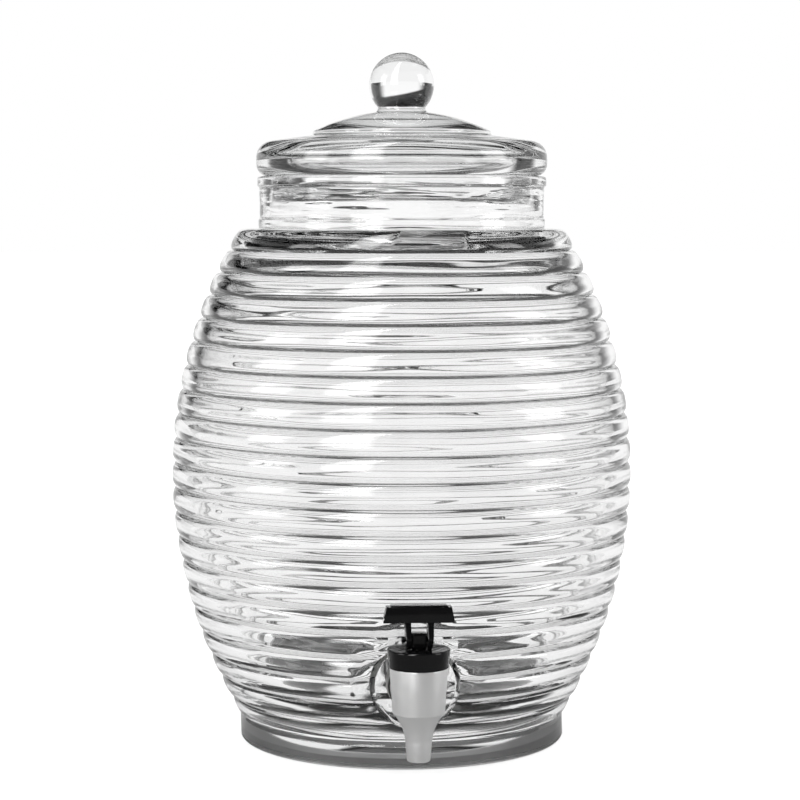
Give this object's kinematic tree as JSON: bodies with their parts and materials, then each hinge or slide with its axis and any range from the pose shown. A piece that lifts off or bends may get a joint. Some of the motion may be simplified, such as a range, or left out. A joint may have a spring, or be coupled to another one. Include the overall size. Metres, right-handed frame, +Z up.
{
  "type": "glass beverage dispenser",
  "caption": "Ribbed barrel-shaped glass drink dispenser with a loose glass lid with a ball knob, and a front tap with a tip-forward lever that lifts a seat cup off its outlet.",
  "frame": {"origin": "centre of the jar's flat base, on the surface it stands on", "axes": "+Z up along the jar's axis, -Y towards the tap and the user, +X to the user's right as they face the tap"},
  "size_m": [0.26, 0.2823, 0.3867],
  "materials": {
    "clear_glass": "clear pressed glass",
    "satin_silver": "satin silver metallised plastic",
    "gloss_black": "glossy black moulded plastic",
    "nut_plastic": "satin black moulded plastic",
    "black_rubber": "matt black rubber",
    "white_silicone": "translucent white silicone"
  },
  "bodies": {
    "jar": {"glass_jar": "clear_glass", "tap_body": "satin_silver", "outer_gasket": "black_rubber", "inner_gasket": "white_silicone", "lock_nut": "nut_plastic", "bonnet": "gloss_black", "seat_cup": "white_silicone"},
    "lid": {"glass_lid": "clear_glass"},
    "stem": {"valve_stem": "gloss_black"},
    "lever": {"tap_lever": "gloss_black", "pivot_pin": "gloss_black"}
  },
  "joints": [
    {"name": "lid_lift", "type": "slide", "parent": "jar", "child": "lid", "axis": [0, 0, 1], "range_m": [0, 0.15]},
    {"name": "stem_lift", "type": "slide", "parent": "jar", "child": "stem", "axis": [0, 0, 1], "range_m": [0, 0.0046], "deforming": ["seat_cup"]},
    {"name": "lever_tilt", "type": "hinge", "parent": "stem", "child": "lever", "pos_m": [0, -0.13599, 0.0792], "axis": [1, 0, 0], "range_deg": [0, 80], "stiffness_Nm_per_rad": 0.05, "springref_deg": -17.19}
  ],
  "couplings": [
    {"joint": "stem_lift", "follows": "lever_tilt", "m_per_rad": 0.0032945}
  ]
}
